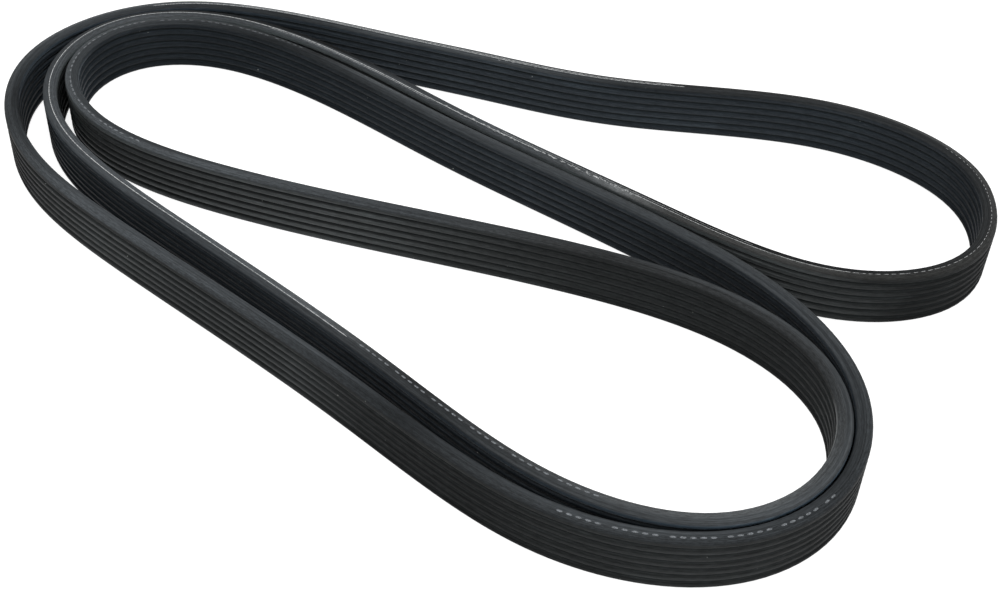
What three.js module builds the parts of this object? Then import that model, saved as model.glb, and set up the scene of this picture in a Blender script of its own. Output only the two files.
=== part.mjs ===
// A drive belt with ribs on both faces, rolled up once and standing on its edge on a flat surface.
// Millimetres, +Z up. The belt rests on z = 0 and its plan is centred on the origin.

import * as THREE from "three";

// Ribs: the same on both faces, with the standard spacing for belts of this kind
const ribCount = 7;
const ribPitch = 3.56;
const ribDepth = 1.8;
const ribTipWidth = 1.7;
const ribAngle = 40; // degrees between the two flanks of a rib

// Solid band between the two rows of ribs, which holds the tension cords
const coreThickness = 2.7;

// Flat left along the middle of each edge where the belt is cut from a wide sleeve
const cutEdgeWidth = 1.2;

// Length once round the belt, measured along the middle of the core
const beltLength = 2950;

// Free space kept between two strands that run side by side
const strandGap = 1.3;

// How finely the solid follows its curve: a new facet after this much turn or this much length,
// whichever comes first
const facetTurn = 13.5; // degrees
const facetLength = 100;

const beltWidth = ribCount * ribPitch;
const beltThickness = coreThickness + 2 * ribDepth;
const flankRise = ribDepth * Math.tan(THREE.MathUtils.degToRad(ribAngle / 2));
const grooveWidth = ribPitch - ribTipWidth - 2 * flankRise;

// The plan of the loop, [x, y], in the order in which the belt runs. The belt is drawn towards each
// peg as a bent strip is, and passes close inside it.
const farStrand = [[225, 30], [217, 73], [159, 111], [59, 109], [-3, 130], [-50, 142]];
const outerLeftTurn = [[-155, 176], [-216, 135], [-226, 83], [-202, 29]];
const nearStrand = [[-144, -18], [-48, -91], [20, -157]];
const outerRightTurn = [[94, -170], [143, -137], [153, -79]];
const crossOver = [[122, -26]];
const middleStrand = [[-176, 53], [-107, 26], [-36, 8], [37, -9], [105, -33]];
const innerNearStrand = [[24, -143], [-37, -81], [-117, -16], [-194, 46]];
const innerLeftTurn = [[-212, 104], [-190, 151], [-133, 160], [-66, 124], [-13, 78], [68, 25]];
const rightLoop = [[140, -27], [206, -15]];

// Extra space at each peg of a strand that lies beside another one, from that one's first peg on
const leftTurnSlack = [0, 0, 0.5, 3, 1, 0];
const rightTurnSlack = [2, 0, 0];

// Pegs of a strand that lies beside a given one and runs back along it. A side of 1 puts it on the
// left of the given strand and -1 on the right.
function besideStrand(strand, side, slack) {
  const last = strand.length - 1;
  const pegs = strand.map((peg, i) => {
    const along = strand[Math.min(i + 1, last)].clone().sub(strand[Math.max(i - 1, 0)]).normalize();
    const across = new THREE.Vector2(-along.y, along.x);
    return peg.clone().addScaledVector(across, side * (beltThickness + strandGap + slack[i]));
  });
  return pegs.reverse();
}

// All the pegs once round, with the plan enlarged by a factor and the belt's own thickness kept
function routePegs(factor) {
  const place = (pegs) => pegs.map(([x, y]) => new THREE.Vector2(x, y).multiplyScalar(factor));
  const rightTurn = place(outerRightTurn);
  const leftTurn = place(innerLeftTurn);
  return [
    ...place(farStrand),
    ...place(outerLeftTurn),
    ...place(nearStrand),
    ...rightTurn,
    ...place(crossOver),
    ...besideStrand(leftTurn, -1, leftTurnSlack),
    ...place(middleStrand),
    ...besideStrand(rightTurn, 1, rightTurnSlack),
    ...place(innerNearStrand),
    ...leftTurn,
    ...place(rightLoop),
  ];
}

// Closed curve drawn towards its pegs: a uniform cubic B-spline, with t from 0 to 1 once round
class PulledLoop extends THREE.Curve {
  constructor(pegs) {
    super();
    this.pegs = pegs;
  }

  getPoint(t, target = new THREE.Vector3()) {
    const count = this.pegs.length;
    const place = t * count;
    const span = Math.floor(place);
    const f = place - span;
    const pulls = [
      (1 - f) ** 3,
      3 * f ** 3 - 6 * f ** 2 + 4,
      -3 * f ** 3 + 3 * f ** 2 + 3 * f + 1,
      f ** 3,
    ];
    target.set(0, 0, 0);
    pulls.forEach((pull, k) => {
      const peg = this.pegs[(span + k + count) % count];
      target.x += (pull / 6) * peg.x;
      target.y += (pull / 6) * peg.y;
    });
    return target;
  }
}

// The loop at the belt's real length: the plan grows or shrinks until its curve measures that
function loopOfLength(length) {
  const passes = 6;
  let factor = 1;
  let loop = new PulledLoop(routePegs(factor));
  for (let pass = 0; pass < passes; pass += 1) {
    factor *= length / measuredLength(loop);
    loop = new PulledLoop(routePegs(factor));
  }
  return loop;
}

function measuredLength(loop) {
  const steps = 3000;
  const points = loop.getPoints(steps);
  let length = 0;
  for (let i = 1; i <= steps; i += 1) {
    length += points[i].distanceTo(points[i - 1]);
  }
  return length;
}

// Heading of the curve in plan at t
function headingAt(loop, t) {
  const reach = 0.0001;
  const ahead = loop.getPoint((t + reach) % 1);
  const behind = loop.getPoint((t - reach + 1) % 1);
  return ahead.sub(behind).normalize();
}

// Stations along the loop, closer together where it turns
function stationsAlong(loop) {
  const walkSteps = 4000;
  const turnStep = THREE.MathUtils.degToRad(facetTurn);
  const stations = [{ point: loop.getPoint(0), heading: headingAt(loop, 0) }];
  let { point, heading } = stations[0];
  let due = 0;
  for (let step = 1; step < walkSteps; step += 1) {
    const t = step / walkSteps;
    const nextPoint = loop.getPoint(t);
    const nextHeading = headingAt(loop, t);
    due += Math.max(nextPoint.distanceTo(point) / facetLength, nextHeading.angleTo(heading) / turnStep);
    point = nextPoint;
    heading = nextHeading;
    if (due >= 1) {
      due -= 1;
      stations.push({ point, heading });
    }
  }
  return stations;
}

// Outline of the section, [offset to the left, height], anticlockwise. The outer flank of each end
// rib runs on across the core, as far as the flat where the belt was cut from its sleeve.
function ribbedSection() {
  const tip = beltThickness / 2;
  const foot = coreThickness / 2;
  const face = [];
  for (let rib = 0; rib < ribCount; rib += 1) {
    const start = rib * ribPitch + grooveWidth / 2;
    const end = start + 2 * flankRise + ribTipWidth;
    face.push([foot, start], [tip, start + flankRise], [tip, end - flankRise], [foot, end]);
  }
  face[0] = [cutEdgeWidth / 2, 0];
  face[face.length - 1] = [cutEdgeWidth / 2, beltWidth];
  const otherFace = face.map(([offset, height]) => [-offset, height]).reverse();
  return [...face, ...otherFace];
}

// One closed skin: the section set square to the loop at every station, joined to the next
function sweepSection(section, stations) {
  const positions = [];
  const triangles = [];
  const around = section.length;
  stations.forEach(({ point, heading }, i) => {
    const next = (i + 1) % stations.length;
    section.forEach(([offset, height], j) => {
      positions.push(point.x - heading.y * offset, point.y + heading.x * offset, height);
      const here = i * around + j;
      const above = i * around + ((j + 1) % around);
      const ahead = next * around + j;
      const aheadAbove = next * around + ((j + 1) % around);
      triangles.push(here, above, ahead, ahead, above, aheadAbove);
    });
  });
  const geometry = new THREE.BufferGeometry();
  geometry.setAttribute("position", new THREE.Float32BufferAttribute(positions, 3));
  geometry.setIndex(triangles);
  return geometry;
}

function makeBelt() {
  const geometry = sweepSection(ribbedSection(), stationsAlong(loopOfLength(beltLength)));
  geometry.computeBoundingBox();
  const middle = geometry.boundingBox.getCenter(new THREE.Vector3());
  geometry.translate(-middle.x, -middle.y, 0);
  geometry.computeVertexNormals();
  const rubber = new THREE.MeshStandardMaterial({ color: 0x2e2f31, roughness: 0.7, metalness: 0 });
  const belt = new THREE.Mesh(geometry, rubber);
  belt.name = "ribbed_belt";
  return belt;
}

const serpentineBelt = new THREE.Group();
serpentineBelt.add(makeBelt());

export default serpentineBelt;
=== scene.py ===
import math
import bpy
import numpy as np
from mathutils import Matrix


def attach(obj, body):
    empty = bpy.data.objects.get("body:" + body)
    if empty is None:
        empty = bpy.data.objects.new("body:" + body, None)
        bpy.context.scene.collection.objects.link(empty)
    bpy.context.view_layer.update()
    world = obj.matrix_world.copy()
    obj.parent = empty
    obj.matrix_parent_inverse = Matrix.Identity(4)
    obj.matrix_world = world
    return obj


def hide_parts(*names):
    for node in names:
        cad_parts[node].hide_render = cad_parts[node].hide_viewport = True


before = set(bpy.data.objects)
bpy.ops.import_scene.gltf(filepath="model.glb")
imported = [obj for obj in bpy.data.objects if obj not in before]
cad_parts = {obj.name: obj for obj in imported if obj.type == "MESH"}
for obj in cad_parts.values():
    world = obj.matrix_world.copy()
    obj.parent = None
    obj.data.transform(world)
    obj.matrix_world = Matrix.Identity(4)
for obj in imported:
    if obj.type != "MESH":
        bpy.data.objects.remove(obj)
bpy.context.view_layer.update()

# A ribbed drive belt rolled up once and standing on its edge. Blender works in metres. The numbers
# of the route and of the section below are in millimetres, as on a drawing, and mm makes metres of
# them.
mm = 0.001


# The camera, fitted to the photo's edges
viewpoint = {
    "position": (9.03, -502.66, 434.53),  # mm
    "lookDown": 41.79,                    # degrees below level
    "roll": 2.861,                        # degrees
    "focalPixels": 1544.0,                # in a picture 1000 pixels wide
    "filmWidth": 36.0,
}


# Focal length in mm = focal length in pixels / picture width in pixels * film width. The camera
# looks straight down at first, is tipped up by (90 - lookDown), then rolls about its own axis.
def makeCamera():
    data = bpy.data.cameras.new("photoCamera")
    data.sensor_width = viewpoint["filmWidth"]
    data.lens = viewpoint["focalPixels"] / 1000 * viewpoint["filmWidth"]
    data.clip_start, data.clip_end = 0.01, 50
    camera = bpy.data.objects.new("photoCamera", data)
    bpy.context.collection.objects.link(camera)
    place = Matrix.Translation([v * mm for v in viewpoint["position"]])
    tip = Matrix.Rotation(math.radians(90 - viewpoint["lookDown"]), 4, "X")
    roll = Matrix.Rotation(math.radians(viewpoint["roll"]), 4, "Z")
    camera.matrix_world = place @ tip @ roll
    bpy.context.scene.camera = camera


makeCamera()
print("camera placed")


# The route of the belt in plan: pegs [x, y] in the order in which the belt runs
route = {
    "farStrand": [[225, 30], [217, 73], [159, 111], [59, 109], [-3, 130], [-50, 142]],
    "outerLeftTurn": [[-155, 176], [-216, 135], [-226, 83], [-202, 29]],
    "nearStrand": [[-144, -18], [-48, -91], [20, -157]],
    "outerRightTurn": [[94, -170], [143, -137], [153, -79]],
    "crossOver": [[122, -26]],
    "middleStrand": [[-176, 53], [-107, 26], [-36, 8], [37, -9], [105, -33]],
    "innerNearStrand": [[24, -143], [-37, -81], [-117, -16], [-194, 46]],
    "innerLeftTurn": [[-212, 104], [-190, 151], [-133, 160], [-66, 124], [-13, 78], [68, 25]],
    "rightLoop": [[140, -27], [206, -15]],
    "leftTurnSlack": [0, 0, 0.5, 3, 1, 0],
    "rightTurnSlack": [1.0, -0.6, -0.3],
    "strandGap": 1.3,
    "length": 2950.0,
    "stations": 650,
}

# The section of the belt
section = {
    "ribs": 7,
    "pitch": 3.56,
    "depth": 1.8,
    "tipWidth": 1.7,
    "ribAngle": 40.0,
    "core": 2.7,
    "cutEdge": 1.2,
    "tipRound": 0.38,     # how far the rounding of a rib's corner reaches along its two sides
    "grooveRound": 0.2,   # the same at the foot of a groove
    "endFill": 0.4,       # how much nearer the cut edge the outer corner of an end rib has stayed
    "endRound": 1.0,      # the rounding of that corner
    "cutRound": 0.45,     # the same beside the flat of the cut edge
}
beltWidth = section["ribs"] * section["pitch"]
beltThickness = section["core"] + 2 * section["depth"]
flankRise = section["depth"] * math.tan(math.radians(section["ribAngle"] / 2))
grooveWidth = section["pitch"] - section["tipWidth"] - 2 * flankRise
endDrop = grooveWidth / 2 + flankRise - section["endFill"]   # from the cut edge to that corner


# Pegs of a strand laid beside another: each peg steps square to the line from the peg before it to
# the peg after it, by the belt's thickness + the gap + its own slack. Then their order is reversed.
def besideStrand(strand, side, slack):
    ahead = np.vstack([strand[1:], strand[-1:]])
    behind = np.vstack([strand[:1], strand[:-1]])
    along = ahead - behind
    along /= np.linalg.norm(along, axis=1)[:, None]
    across = np.stack([-along[:, 1], along[:, 0]], axis=1)
    step = side * (beltThickness + route["strandGap"] + np.array(slack, float))
    return (strand + across * step[:, None])[::-1]


# All pegs in running order, with the plan grown by a factor and the belt's thickness kept.
def routePegs(factor):
    place = lambda name: np.array(route[name], float) * factor
    rightTurn, leftTurn = place("outerRightTurn"), place("innerLeftTurn")
    return np.vstack([
        place("farStrand"), place("outerLeftTurn"), place("nearStrand"), rightTurn,
        place("crossOver"), besideStrand(leftTurn, -1, route["leftTurnSlack"]),
        place("middleStrand"), besideStrand(rightTurn, 1, route["rightTurnSlack"]),
        place("innerNearStrand"), leftTurn, place("rightLoop"),
    ])


# Uniform cubic B-spline: a point is the sum of four neighbouring pegs, weighted by
# (1-f)^3/6, (3f^3-6f^2+4)/6, (-3f^3+3f^2+3f+1)/6 and f^3/6, with f from 0 to 1 over a span.
def splineLoop(pegs, perSpan=160):
    f = np.arange(perSpan) / perSpan
    pulls = np.stack([(1 - f) ** 3, 3 * f ** 3 - 6 * f ** 2 + 4,
                      -3 * f ** 3 + 3 * f ** 2 + 3 * f + 1, f ** 3], axis=1) / 6
    four = np.stack([np.roll(pegs, -k, axis=0) for k in range(4)], axis=1)
    return np.einsum("fk,ikd->ifd", pulls, four).reshape(-1, 2)


# Distance run from the first point to each point, and once more back to the first.
def runLengths(points):
    steps = np.linalg.norm(np.roll(points, -1, axis=0) - points, axis=1)
    return np.concatenate([[0], np.cumsum(steps)])


# The loop at its real length: the plan is scaled by wanted length / measured length, six times
# over, then moved so that the middle of its outline's box is at the origin.
def loopOfLength(length):
    factor = 1.0
    for _ in range(6):
        factor *= length / runLengths(splineLoop(routePegs(factor)))[-1]
    points = splineLoop(routePegs(factor))
    left = leftOf(points)
    outline = np.vstack([points + left * beltThickness / 2, points - left * beltThickness / 2])
    return points - (outline.min(axis=0) + outline.max(axis=0)) / 2


# Unit vector to the left of the running direction: the difference of the two neighbours, turned
# by a right angle.
def leftOf(points):
    along = np.roll(points, -1, axis=0) - np.roll(points, 1, axis=0)
    along /= np.linalg.norm(along, axis=1)[:, None]
    return np.stack([-along[:, 1], along[:, 0]], axis=1)


finePath = loopOfLength(route["length"])
fineLeft = leftOf(finePath)
fineRun = runLengths(finePath)


# Place and left direction at any distances along the loop, read off the fine path by linear
# interpolation; distances past the end start again at 0.
def pathAt(distance):
    d = np.mod(distance, fineRun[-1])
    read = lambda rows: np.stack(
        [np.interp(d, fineRun, np.append(rows[:, k], rows[0, k])) for k in (0, 1)], axis=-1)
    left = read(fineLeft)
    return read(finePath), left / np.linalg.norm(left, axis=-1, keepdims=True)


print("route worked out, length", round(float(fineRun[-1]), 1), "mm")


# A corner rounded off: points on the curve (1-t)^2 a + 2t(1-t) b + t^2 c, where b is the corner and
# a and c lie the given distance from it along its two sides.
def roundCorner(before, corner, after, reach, count):
    toBefore, toAfter = before - corner, after - corner
    a = corner + toBefore / np.linalg.norm(toBefore) * reach
    c = corner + toAfter / np.linalg.norm(toAfter) * reach
    t = np.linspace(0, 1, count)[:, None]
    return (1 - t) ** 2 * a + 2 * t * (1 - t) * corner + t ** 2 * c


# Outline of the section as [offset to the left, height], anticlockwise. One face is a row of
# ribs (foot, tip, tip, foot), the other is its mirror image, and every corner is rounded off.
def beltOutline():
    rise = flankRise
    foot, tip, cut = section["core"] / 2, beltThickness / 2, section["cutEdge"] / 2
    start = np.arange(section["ribs"]) * section["pitch"] + grooveWidth / 2
    heights = np.stack([start, start + rise, start + rise + section["tipWidth"],
                        start + 2 * rise + section["tipWidth"]], axis=1).ravel()
    offsets = np.tile([foot, tip, tip, foot], section["ribs"])
    offsets[[0, -1]], heights[[0, -1]] = cut, (0, beltWidth)
    heights[[1, -2]] = endDrop, beltWidth - endDrop
    ribFace = np.stack([offsets, heights], axis=1)
    corners = np.vstack([ribFace, (ribFace * (-1, 1))[::-1]])
    reach = np.tile([section["grooveRound"], section["tipRound"], section["tipRound"],
                     section["grooveRound"]], 2 * section["ribs"])
    count = np.tile([2, 3, 3, 2], 2 * section["ribs"])
    n = len(ribFace)
    ends, cuts = [1, n - 2, n + 1, 2 * n - 2], [0, n - 1, n, 2 * n - 1]
    reach[ends], count[ends] = section["endRound"], 5
    reach[cuts], count[cuts] = section["cutRound"], 3
    return np.vstack([roundCorner(corners[i - 1], corners[i], corners[(i + 1) % (2 * n)],
                                  reach[i], count[i]) for i in range(2 * n)])


outline = beltOutline()
print("section drawn,", len(outline), "points")


# Position in metres of points given by distance run, offset to the left and height:
# path(distance) + left(distance) * offset, and the height above.
def onBelt(distance, offset, height):
    distance, offset, height = np.broadcast_arrays(distance, offset, height)
    spot, left = pathAt(distance)
    return np.concatenate([spot + left * offset[..., None], height[..., None]], axis=-1) * mm


# Height of the cut edge's surface at an offset: level over the flat, then straight down to the
# corner of the end rib, so the drop grows as (offset - half the flat) over
# (half the belt - half the flat).
def edgeHeight(offset):
    flat, side = section["cutEdge"] / 2, beltThickness / 2
    return beltWidth - np.maximum(np.abs(offset) - flat, 0) / (side - flat) * endDrop


# Four-cornered faces of a grid of points numbered row by row; either way round may close on itself.
def gridFaces(rows, columns, closeRows, closeColumns, first=0):
    i = np.arange(rows if closeRows else rows - 1)[:, None]
    j = np.arange(columns if closeColumns else columns - 1)[None, :]
    here, ahead = i * columns, (i + 1) % rows * columns
    up = (j + 1) % columns
    return np.stack([here + j, here + up, ahead + up, ahead + j], axis=-1).reshape(-1, 4) + first


# A mesh object from an array of points and an array of four-cornered faces.
def makePiece(name, points, faces, material):
    mesh = bpy.data.meshes.new(name)
    mesh.vertices.add(len(points))
    mesh.vertices.foreach_set("co", points.astype(np.float32).ravel())
    mesh.loops.add(faces.size)
    mesh.loops.foreach_set("vertex_index", faces.astype(np.int32).ravel())
    mesh.polygons.add(len(faces))
    starts = np.arange(0, faces.size, faces.shape[1], dtype=np.int32)
    mesh.polygons.foreach_set("loop_start", starts)
    mesh.polygons.foreach_set("use_smooth", np.ones(len(faces), bool))
    mesh.update(calc_edges=True)
    mesh.validate()
    mesh.materials.append(material)
    piece = bpy.data.objects.new(name, mesh)
    bpy.context.collection.objects.link(piece)
    return piece


# A three-number attribute on every point of a mesh.
def keepOnPoints(piece, name, values):
    layer = piece.data.attributes.new(name, "FLOAT_VECTOR", "POINT")
    layer.data.foreach_set("vector", values.astype(np.float32).ravel())


# Small helper round one material's nodes: add(kind, settings) makes a node, join links two sockets.
class NodeSheet:
    def __init__(self, name):
        self.material = bpy.data.materials.new(name)
        self.material.use_nodes = True
        self.tree = self.material.node_tree
        self.shader = self.tree.nodes["Principled BSDF"]

    def add(self, kind, inputs=None, **settings):
        node = self.tree.nodes.new("ShaderNode" + kind)
        for key, value in settings.items():
            setattr(node, key, value)
        for key, value in (inputs or {}).items():
            self.give(node.inputs[key], value)
        return node

    def give(self, socket, value):
        if isinstance(value, bpy.types.NodeSocket):
            self.tree.links.new(value, socket)
        else:
            socket.default_value = value

    def math(self, operation, *values, clamp=False):
        node = self.add("Math", dict(enumerate(values)), operation=operation, use_clamp=clamp)
        return node.outputs[0]

    # 0 below low, 1 above high, smooth between
    def ramp(self, value, low, high):
        node = self.add("MapRange", {"Value": value, "From Min": low, "From Max": high},
                        interpolation_type="SMOOTHSTEP")
        return node.outputs[0]

    def mix(self, factor, one, other):
        node = self.add("Mix", data_type="RGBA")
        for key, value in ((0, factor), (6, one), (7, other)):
            self.give(node.inputs[key], value)
        return node.outputs[2]

    def noise(self, vector, scale, detail=3.0, roughness=0.55):
        node = self.add("TexNoise", {"Vector": vector, "Scale": scale, "Detail": detail,
                                     "Roughness": roughness})
        return node.outputs[0]

    def attribute(self, name):
        return self.add("Attribute", attribute_name=name).outputs["Vector"]

    # the three numbers of an attribute, one by one
    def parts(self, name):
        return self.add("SeparateXYZ", {"Vector": self.attribute(name)}).outputs

    def objectPlace(self):
        return self.add("TexCoord").outputs["Object"]

    def scaled(self, vector, scale):
        return self.add("Mapping", {"Vector": vector, "Scale": scale}).outputs[0]

    # one at factor 0, other at factor 1, for plain numbers
    def blend(self, factor, one, other):
        node = self.add("Mix", data_type="FLOAT")
        for key, value in ((0, factor), (2, one), (3, other)):
            self.give(node.inputs[key], value)
        return node.outputs[0]

    def dim(self, colour, level):
        node = self.add("VectorMath", {0: colour, "Scale": level}, operation="SCALE")
        return node.outputs[0]

    def bump(self, height, distance, strength=1.0, under=None):
        inputs = {"Height": height, "Distance": distance, "Strength": strength}
        if under is not None:
            inputs["Normal"] = under
        return self.add("Bump", inputs).outputs[0]


rubber = {
    "leftDark": (0.0056, 0.0098, 0.0142, 1),     # the left face is a bluer black than the right one
    "leftWorn": (0.0158, 0.0240, 0.0312, 1),
    "rightDark": (0.0085, 0.0104, 0.0109, 1),
    "rightWorn": (0.0225, 0.0270, 0.0281, 1),
    "groove": (0.0079, 0.0103, 0.0109, 1),
    "cutFace": (0.0288, 0.0345, 0.0394, 1),
    "cutFaceDark": (0.0134, 0.0163, 0.0188, 1),
    "warmFace": (0.0338, 0.0346, 0.0335, 1),     # the cut edge where it has gone browner
    "warmFaceDark": (0.0161, 0.0164, 0.0157, 1),
    "dust": (0.20, 0.21, 0.20, 1),
    # painted shade: lowestRib darkens the lowest rib
    "lowestRib": 0.75,                           # how much of its grey the lowest rib keeps
    # painted shade: rim darkens the two outer rims of a cut edge
    "rim": 0.8,                                  # the same for the two outer rims of a cut edge
    "rimBand": (2.3, 3.0),                       # where that rim begins, in mm from the middle
    "tipBand": (0.7, 0.1),                       # depth in mm over which a groove turns into a tip
    "scuffing": (1.7, 0.15),                     # level of a face: scuff noise * first + second
    "lining": (1.5, 0.25),                       # the same for the lines along the cut edges
    "speckShare": (0.93, 0.94),                  # specks of dust lie in the cells above this
    "speckReach": (0.085, 0.035),                # a speck fades out between these shares of a cell
    "shineLimits": (0.25, 3.0),
    "roughness": 0.55,
    "specular": 0.25,
}

# How greyed the rubber looks along the run, as [distance in mm, level]: 1 is the plain finish, less
# is blacker and more is greyer. The levels are part wear and part painted light and shade: pools of
# light and shaded stretches painted along the strands, a painted highlight on the rib next to the
# upper edge in some stretches and painted shade on it in others, and grooves lightened against
# their shade. The ribs, the rib next to the upper edge, the grooves and the two halves of the cut
# edges have rows of their own; the last row says how brown the edges have gone.
wearAndLightAlong = {
    "ribs": [[0, 0.65], [60, 0.85], [185, 1.05], [300, 1.1], [450, 0.95], [485, 0.45],
             [530, 0.25], [600, 1.05], [660, 0.75], [720, 0.9], [760, 0.3], [810, 0.3],
             [890, 0.8], [940, 0.5], [1110, 0.5], [1180, 0.9], [1330, 0.5], [1460, 0.6],
             [1500, 1.3], [1640, 1.9], [1690, 1.1],
             [1750, 0.55], [1880, 0.42], [2060, 0.42], [2110, 0.28], [2160, 0.55], [2240, 0.4],
             [2330, 0.55], [2780, 1.85], [2835, 0.4], [2920, 0.3]],
    "firstRib": [[0, 0.7], [60, 0.9], [150, 0.7], [190, 1.4], [290, 1.5], [480, 2.6], [510, 0.4],
                 [740, 0.4], [820, 0.5], [890, 0.65], [960, 0.45], [1000, 1.5], [1080, 0.85],
                 [1200, 0.9], [1300, 0.5], [1450, 0.6], [1500, 4.0], [1560, 2.5], [1640, 1.5],
                 [1690, 1.0], [1740, 0.55], [1880, 0.35], [1920, 8.0], [2000, 3.0], [2060, 1.6],
                 [2260, 0.8], [2330, 1.8], [2400, 8.0], [2700, 3.2], [2780, 3.3], [2820, 0.45],
                 [2920, 0.45]],
    "grooves": [[0, 1.25], [60, 1.35], [150, 1.4], [250, 1.2], [300, 1.1], [450, 1.6],
                [500, 1.6], [540, 0.8], [600, 1.0], [700, 0.7], [750, 0.95], [810, 0.8],
                [880, 1.25], [930, 1.0],
                [1000, 0.65], [1100, 0.7], [1200, 1.05], [1280, 1.15], [1340, 1.1], [1450, 1.0],
                [1500, 1.1], [1560, 0.7], [1620, 0.8], [1680, 0.95], [1770, 1.05], [1850, 0.85],
                [1950, 0.85], [2050, 0.85], [2110, 1.0], [2160, 0.95], [2250, 1.0], [2300, 1.2],
                [2400, 0.9], [2740, 0.8], [2800, 1.2], [2850, 0.85], [2920, 0.95]],
    "leftEdge": [[0, 0.6], [150, 0.6], [225, 1.2], [280, 1.05], [325, 0.5], [450, 1.0], [500, 0.5],
                 [600, 1.15], [725, 1.1], [775, 0.4], [875, 1.35], [960, 0.6], [1075, 0.95],
                 [1250, 0.8], [1350, 0.4], [1430, 0.85], [1550, 0.7], [1610, 1.2], [1680, 1.0],
                 [1760, 0.55], [1830, 1.1], [1950, 1.4], [2080, 0.5], [2170, 0.95], [2330, 1.4],
                 [2430, 0.5], [2540, 0.1], [2640, 1.6], [2740, 0.2], [2920, 0.6]],
    "rightEdge": [[0, 1.2], [75, 0.55], [150, 0.35], [200, 1.2], [360, 2.1], [470, 1.2], [520, 0.7],
                  [590, 1.4], [710, 0.9], [775, 0.4], [870, 0.85], [960, 0.7], [1050, 1.2],
                  [1125, 1.0], [1290, 1.5], [1325, 0.45], [1390, 0.95], [1430, 1.45], [1500, 1.55],
                  [1640, 1.15], [1700, 1.0], [1760, 0.5], [1870, 0.75], [1950, 2.1], [2050, 1.1],
                  [2100, 0.5], [2160, 2.0], [2310, 1.8], [2400, 1.3], [2680, 1.3], [2705, 3.0],
                  [2730, 0.9], [2780, 1.0], [2840, 0.6], [2920, 0.9]],
    "brown": [[0, 0.7], [120, 0.6], [200, 0.2], [440, 0.1], [1680, 0.1], [1740, 0.5], [1850, 0.4],
              [2130, 0.4], [2200, 0.1], [2660, 0.1], [2740, 0.9], [2840, 1.0], [2920, 0.8]],
}


# Level of wear and painted light and shade at any distances, read from a row of the table by linear
# interpolation.
def wearAndLightAt(name, distance):
    places, levels = np.array(wearAndLightAlong[name]).T
    return np.interp(distance, places, levels, period=fineRun[-1])
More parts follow.
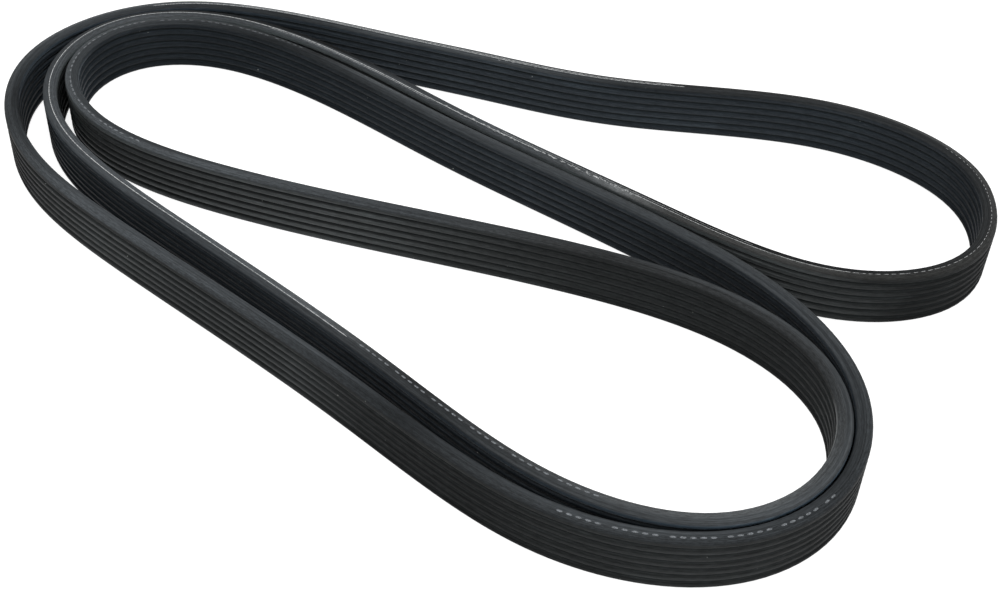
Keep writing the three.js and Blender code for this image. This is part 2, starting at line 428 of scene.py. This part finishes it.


# Belt rubber. On every point the mesh holds runPlace (a ring of the loop's real length, and the
# distance round the section), sectionPlace (offset and height in mm, level of the first rib),
# the levels of wear and painted light and shade (ribs, left half and right half of the edges) and
# moreLevels (grooves, how brown the edges are, and nothing). Colour = dark rubber mixed with worn
# grey by lengthwise streaks, times the levels along the run, which are part wear and part painted
# light and shade, and patchy scuffs, with a cut face of its own on the two edges and a few specks
# of dust. The lowest rib and the outer rims of the cut edges are darkened as painted shade. The
# bump adds a fine moulded grain, the streaks and the marks of the cut.
def makeRubber():
    n = NodeSheet("beltRubber")
    ring = n.attribute("runPlace")
    offset, height, firstLevel = n.parts("sectionPlace")
    ribLevel, leftLevel, rightLevel = n.parts("wearAndLightLevels")
    grooveLevel, brown, _ = n.parts("moreLevels")
    here = n.objectPlace()

    streaks = n.noise(n.scaled(ring, (14, 14, 900)), 1.0, 4.0, 0.6)
    lines = n.noise(n.scaled(ring, (12, 12, 1800)), 1.0, 2.0, 0.5)
    scuffs = n.noise(n.scaled(ring, (260, 260, 2600)), 1.0, 3.0, 0.65)
    clouds = n.noise(here, 55.0, 3.0)
    grain = n.noise(here, 2600.0, 3.0, 0.7)
    away = n.math("ABSOLUTE", offset)
    onLeft = n.ramp(offset, -0.9, 0.9)

    # the two ribbed faces; only the raised part of a rib is worn
    raised = n.ramp(away, section["core"] / 2, section["core"] / 2 + 1.3)
    wear = n.math("MULTIPLY", n.ramp(streaks, 0.42, 0.75), n.ramp(clouds, 0.3, 0.7))
    # the rib next to the upper edge has its own row of levels: a painted highlight in some
    # stretches, painted shade in others
    onFirst = n.ramp(height, beltWidth - 3.9, beltWidth - 3.2)
    # painted shade on the lowest rib
    onLowest = n.ramp(height, 3.6, 2.4)
    onTips = n.ramp(away, *[beltThickness / 2 - depth for depth in rubber["tipBand"]])
    # ribs and grooves take their own levels along the run, part wear and part painted light and
    # shade
    ownLevel = n.blend(onFirst, n.blend(onTips, grooveLevel, ribLevel), firstLevel)
    faceLevel = n.math("MULTIPLY", ownLevel, n.blend(onLowest, 1.0, rubber["lowestRib"]))
    faceLevel = n.math("MULTIPLY", faceLevel, n.math("MULTIPLY_ADD", scuffs, *rubber["scuffing"]))
    face = n.mix(wear, n.mix(onLeft, rubber["rightDark"], rubber["leftDark"]),
                 n.mix(onLeft, rubber["rightWorn"], rubber["leftWorn"]))
    colour = n.mix(raised, n.dim(rubber["groove"][:3], grooveLevel), n.dim(face, faceLevel))

    # the cut edges, top and bottom: long lines and short marks, coarser on the right-hand half
    onTop = n.ramp(height, beltWidth - 1.5, beltWidth - endDrop)
    onBottom = n.ramp(height, 1.5, endDrop)
    onEdge = n.math("MAXIMUM", onTop, onBottom)
    rightHalf = n.ramp(offset, 0.1, -0.2)
    marks = n.noise(n.scaled(ring, (420, 420, 2600)), 1.0, 3.0, 0.7)
    coarse = n.math("MULTIPLY", onEdge, rightHalf)
    # the halves of the cut edges take their levels along the run, part wear and part painted light
    # and shade; their outer rims are darkened as painted shade
    edgeLevel = n.math("MULTIPLY", n.blend(onLeft, rightLevel, leftLevel),
                       n.blend(n.ramp(away, *rubber["rimBand"]), 1.0, rubber["rim"]))
    edgeLevel = n.math("MULTIPLY", edgeLevel, n.math("MULTIPLY_ADD", lines, *rubber["lining"]))
    brown = n.math("MULTIPLY", brown, n.blend(onLeft, 1.0, 0.5))
    darkCut = n.mix(brown, rubber["cutFaceDark"], rubber["warmFaceDark"])
    paleCut = n.mix(brown, rubber["cutFace"], rubber["warmFace"])
    smooth = n.mix(n.ramp(scuffs, 0.3, 0.7), darkCut, paleCut)
    rough = n.mix(n.ramp(marks, 0.40, 0.60), darkCut, paleCut)
    colour = n.mix(onEdge, colour, n.dim(n.mix(rightHalf, smooth, rough), edgeLevel))

    specks = n.add("TexVoronoi", {"Vector": here, "Scale": 260.0}, feature="F1")
    cell = n.add("SeparateColor", {"Color": specks.outputs["Color"]}).outputs[0]
    speck = n.math("MULTIPLY", n.ramp(cell, *rubber["speckShare"]),
                   n.ramp(specks.outputs["Distance"], *rubber["speckReach"]))
    onFaces = n.math("SUBTRACT", 1.0, onEdge)
    colour = n.mix(n.math("MULTIPLY", speck, onFaces), colour, rubber["dust"])

    n.give(n.shader.inputs["Base Color"], colour)
    n.give(n.shader.inputs["Roughness"], n.math("MULTIPLY_ADD", grain, 0.16, rubber["roughness"]))
    shine = n.blend(onEdge, n.blend(raised, 0.7, faceLevel), edgeLevel)
    least, most = rubber["shineLimits"]
    shine = n.math("MINIMUM", n.math("MAXIMUM", shine, least), most)
    n.give(n.shader.inputs["Specular IOR Level"], n.math("MULTIPLY", shine, rubber["specular"]))
    fine = n.bump(grain, 0.00003)
    along = n.bump(streaks, 0.00006, under=fine)
    cut = n.bump(n.math("MULTIPLY", marks, coarse), 0.00025, under=along)
    n.give(n.shader.inputs["Normal"], cut)
    return n.material


cordFibre = {"light": (0.46, 0.47, 0.47, 1), "dull": (0.15, 0.155, 0.16, 1)}


# Cut fibre of the tension cord: two greys mixed by noise along the cord, dull and soft.
def makeCordFibre():
    n = NodeSheet("cordFibre")
    patches = n.noise(n.objectPlace(), 1300.0, 3.0, 0.7)
    grey = n.mix(n.ramp(patches, 0.35, 0.6), cordFibre["dull"], cordFibre["light"])
    n.give(n.shader.inputs["Base Color"], grey)
    n.shader.inputs["Roughness"].default_value = 0.8
    n.give(n.shader.inputs["Normal"], n.bump(n.noise(n.objectPlace(), 5000.0), 0.00003))
    return n.material


markPaint = {"thick": (0.17, 0.185, 0.20, 1), "thin": (0.055, 0.06, 0.065, 1)}


# Pale marking paint, worn thin in patches: two greys mixed by fine noise.
def makeMarkPaint():
    n = NodeSheet("markPaint")
    wearOff = n.noise(n.objectPlace(), 2200.0, 3.0, 0.75)
    grey = n.mix(n.ramp(wearOff, 0.40, 0.62), markPaint["thin"], markPaint["thick"])
    n.give(n.shader.inputs["Base Color"], grey)
    n.shader.inputs["Roughness"].default_value = 0.7
    n.give(n.shader.inputs["Normal"], n.bump(wearOff, 0.00002))
    return n.material


rubberLook, cordLook, paintLook = makeRubber(), makeCordFibre(), makeMarkPaint()
print("materials made")


# The outline carried round the path: point (i, j) = onBelt(distance i, offset j, height j).
def makeBelt():
    stations, around = route["stations"], len(outline)
    run = np.arange(stations) / stations * fineRun[-1]
    points = onBelt(run[:, None], outline[None, :, 0], outline[None, :, 1]).reshape(-1, 3)
    faces = gridFaces(stations, around, True, True)
    belt = makePiece("beltBody", points, faces, rubberLook)
    turn = run / fineRun[-1] * 2 * math.pi
    radius = fineRun[-1] / (2 * math.pi) * mm
    girth = np.concatenate([[0], np.cumsum(np.linalg.norm(np.diff(outline, axis=0), axis=1))]) * mm
    perPoint = lambda a, b, c: np.stack(np.broadcast_arrays(a, b, c), axis=-1)
    keepOnPoints(belt, "runPlace", perPoint(np.cos(turn)[:, None] * radius,
                                            np.sin(turn)[:, None] * radius, girth[None, :]))
    keepOnPoints(belt, "sectionPlace", perPoint(outline[None, :, 0], outline[None, :, 1],
                                                wearAndLightAt("firstRib", run)[:, None]))
    rows = ("ribs", "leftEdge", "rightEdge", "grooves", "brown")
    ribs, left, right, grooves, brown = [
        np.repeat(wearAndLightAt(name, run)[:, None], around, axis=1) for name in rows]
    keepOnPoints(belt, "wearAndLightLevels", np.stack([ribs, left, right], axis=-1))
    keepOnPoints(belt, "moreLevels", np.stack([grooves, brown, brown * 0], axis=-1))
    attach(belt, "root")
    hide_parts("ribbed_belt")
    print("belt swept,", len(faces) * 2, "triangles")


makeBelt()


# The tension cord's cut line on the upper edge, in mm. A whole stretch is [start, end, width]. A
# broken one is [start, end, dash, gap, width]. A frayed one is
# [start, end, tufts, longest, widest, spread].
cord = {
    "rise": 0.07,
    "sunk": 0.05,
    "step": 1.5,
    "fineStep": 0.5,             # for dashes and tufts
    "shift": 0.25,               # how far a dash may move, as a share of the gap
    "dashShares": (0.7, 1.2),    # shortest and longest dash, as shares of the usual one
    "tuftShares": (0.3, 1),      # the same for tufts and the longest one
    "secondShare": 0.6,          # height of the second line over that of the first
    "seed": 4,
    "whole": [[126, 395, 0.40], [2134, 2215, 0.32], [2213, 2664, 0.40], [2712, 2812, 0.26]],
    "broken": [[2812, 2880, 2.6, 0.6, 0.22], [2880, 2950, 1.7, 0.9, 0.24],
               [2692, 2714, 0.5, 0.8, 1.1]],
    "frayed": [[196, 216, 10, 1.6, 0.30, 1.2], [2606, 2714, 90, 1.8, 0.34, 0.7],
               [2658, 2694, 18, 3.2, 0.50, 0.35]],
    # a thinner second line: start, end, width, offset from the first
    "second": [[132, 352, 0.32, -0.9], [2500, 2600, 0.20, -0.7], [2640, 2770, 0.12, 1.25]],
    "drift": [[126, 0.1], [180, 0.3], [225, 0.5], [280, 0.0], [330, -0.2], [395, 0.4], [2134, 0.2],
              [2240, -0.45], [2300, 0.0], [2370, 0.2], [2440, 0.0], [2480, -0.3], [2550, -1.2],
              [2600, -0.8], [2640, -0.5], [2700, -0.4], [2760, -0.4], [2860, 0.1], [2900, -0.4],
              [2930, 0.1], [2950, 0.4]],
}


# Offset of the cord's line at a distance, read from the drift rows by linear interpolation.
def cordOffset(distance):
    places, offsets = np.array(cord["drift"]).T
    return np.interp(distance, places, offsets)


# The ends of a strip: they narrow over this many widths, down to this share of the width
stripEnd = {"reach": 0.6, "share": 0.12}


# A low strip that follows the belt from one distance to another, offset by a number at each step.
# Its section is six points on half an ellipse, width * cos(a) / 2 across and rise * sin(a) high,
# which narrows to its two ends as the square root of the way from the nearer end.
def strip(start, end, width, rise, sunk, offset, step):
    count = max(4, int((end - start) / step) + 1)
    t = np.linspace(0, 1, count)
    run = start + (end - start) * t
    middle = np.broadcast_to(offset(run) if callable(offset) else offset, run.shape)[:, None]
    fromEnd = np.minimum(t, 1 - t) * (end - start)
    taper = np.clip(fromEnd / (width * stripEnd["reach"]), stripEnd["share"], 1) ** 0.5
    a = np.linspace(0, math.pi, 6)
    across = middle + np.cos(a)[None, :] * taper[:, None] * width / 2
    up = edgeHeight(middle) - sunk + np.sin(a)[None, :] * taper[:, None] * (rise + sunk)
    return onBelt(run[:, None], across, up)


# Several strips as one mesh; each is a grid closed round its section, with two faces over each end.
def makeStrips(name, strips, material):
    points, quads, first = [], [], 0
    for rows in strips:
        count, wide = rows.shape[:2]
        last = first + (count - 1) * wide
        points.append(rows.reshape(-1, 3))
        quads.append(gridFaces(count, wide, False, True, first))
        quads.append(np.array([[5, 4, 1, 0], [4, 3, 2, 1]]) + first)
        quads.append(np.array([[0, 1, 4, 5], [1, 2, 3, 4]]) + last)
        first += count * wide
    piece = makePiece(name, np.vstack(points), np.vstack(quads), material)
    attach(piece, "root")
    return piece


# Dashes start every dash + gap along a broken stretch, each shifted by up to a quarter of the gap.
# The tufts of a frayed one lie anywhere along it, up to the spread to each side of the line.
def makeCutCord():
    chance = np.random.default_rng(cord["seed"])
    rise, sunk, step, fineStep = cord["rise"], cord["sunk"], cord["step"], cord["fineStep"]
    strips = [strip(a, b, width, rise, sunk, cordOffset, step) for a, b, width in cord["whole"]]
    for a, b, width, beside in cord["second"]:
        strips.append(strip(a, b, width, rise * cord["secondShare"], sunk,
                            lambda s: cordOffset(s) + beside, step))
    for a, b, dash, gap, width in cord["broken"]:
        starts = np.arange(a, b - dash, dash + gap)
        starts = starts + chance.uniform(-cord["shift"], cord["shift"], len(starts)) * gap
        ends = starts + dash * chance.uniform(*cord["dashShares"], len(starts))
        strips += [strip(s, e, width, rise, sunk, cordOffset, fineStep)
                   for s, e in zip(starts, ends)]
    for a, b, tufts, longest, widest, spread in cord["frayed"]:
        places, sizes, asides = (chance.uniform(a, b, tufts),
                                 chance.uniform(*cord["tuftShares"], tufts),
                                 chance.uniform(-1, 1, tufts))
        for s, size, aside in zip(places, sizes, asides):
            strips.append(strip(s, s + longest * size, widest * size, rise, sunk,
                                float(cordOffset(s)) + aside * spread, fineStep))
    makeStrips("cutCord", strips, cordLook)
    print("cut cord laid,", len(strips), "strips")


makeCutCord()


# Plain marks along the edge, in mm. A place is
# [start, end, offset at its start, offset at its end, width of a dash].
marking = {
    "dash": 2.3,
    "gap": 1.2,
    "groupOf": 5,
    "groupGap": 2.4,
    "rise": 0.02,
    "sunk": 0.03,
    "step": 0.3,
    "places": [[845, 951, -0.45, -0.45, 0.95], [1418, 1545, -0.5, -0.5, 0.85],
               [2012, 2132, -0.45, -0.45, 0.8], [1335, 1412, -1.3, 0.1, 0.5]],
}


# Dashes in groups of equal number, from the first distance to the last of each place: dash k starts
# at the place's start + k * (dash + gap) + the number of full groups before it * groupGap.
def makeMarking():
    apart = marking["dash"] + marking["gap"]
    strips = []
    for start, end, low, high, width in marking["places"]:
        k = np.arange(int((end - start) / apart) + 1)
        starts = start + k * apart + (k // marking["groupOf"]) * marking["groupGap"]
        offset = lambda s: low + (high - low) * (s - start) / (end - start)
        strips += [strip(s, s + marking["dash"], width, marking["rise"], marking["sunk"],
                         offset, marking["step"]) for s in starts[starts < end - marking["dash"]]]
    makeStrips("edgeDashes", strips, paintLook)
    print("edge marked,", len(strips), "dashes")


makeMarking()


# Floor and light
studio = {
    "floor": (0.42, 0.42, 0.42, 1),
    "floorGlow": 0.85,      # the floor is a light table, so that it stays pale beside the belt
    "floorSize": 8.0,
    "floorDrop": 0.0002,    # how far it lies below the belt, so that the two faces don't meet
    "sky": 0.80,
    "panels": {             # place, size in metres and power in watts
        "sidePanel": ((0.8, -0.8, 0.5), 0.6, 4.0),
        "nearPanel": ((-0.15, -0.20, 0.35), 0.2, 0.5),
        "topPanel": ((-0.05, 0.05, 0.5), 0.3, 0.8),
    },
}


# A square lamp at a place, turned to face the middle of the belt, and not itself in the picture.
def makePanel(name, place, size, power):
    light = bpy.data.lights.new(name, "AREA")
    light.energy, light.size = power, size
    lamp = bpy.data.objects.new(name, light)
    lamp.location = place
    lamp.rotation_euler = (-lamp.location).to_track_quat("-Z", "Y").to_euler()
    lamp.visible_camera = False
    bpy.context.collection.objects.link(lamp)


# A square floor just under the belt, as wide as floorSize, an even sky and the panels.
def makeStudio():
    half, level = studio["floorSize"] / 2, -studio["floorDrop"]
    corners = np.array([[-half, -half, level], [half, -half, level],
                        [half, half, level], [-half, half, level]])
    n = NodeSheet("floorPaper")
    n.shader.inputs["Base Color"].default_value = studio["floor"]
    n.shader.inputs["Roughness"].default_value = 0.9
    n.shader.inputs["Specular IOR Level"].default_value = 0.0
    n.shader.inputs["Emission Color"].default_value = (1, 1, 1, 1)
    n.shader.inputs["Emission Strength"].default_value = studio["floorGlow"]
    makePiece("floor", corners, np.array([[0, 1, 2, 3]]), n.material)
    world = bpy.data.worlds.new("studioWorld")
    world.use_nodes = True
    world.node_tree.nodes["Background"].inputs[0].default_value = (1, 1, 1, 1)
    world.node_tree.nodes["Background"].inputs[1].default_value = studio["sky"]
    bpy.context.scene.world = world
    for name, (place, size, power) in studio["panels"].items():
        makePanel(name, place, size, power)
    bpy.context.scene.view_settings.view_transform = "Standard"
    bpy.context.scene.view_settings.look = "None"


makeStudio()
print("floor and light set")
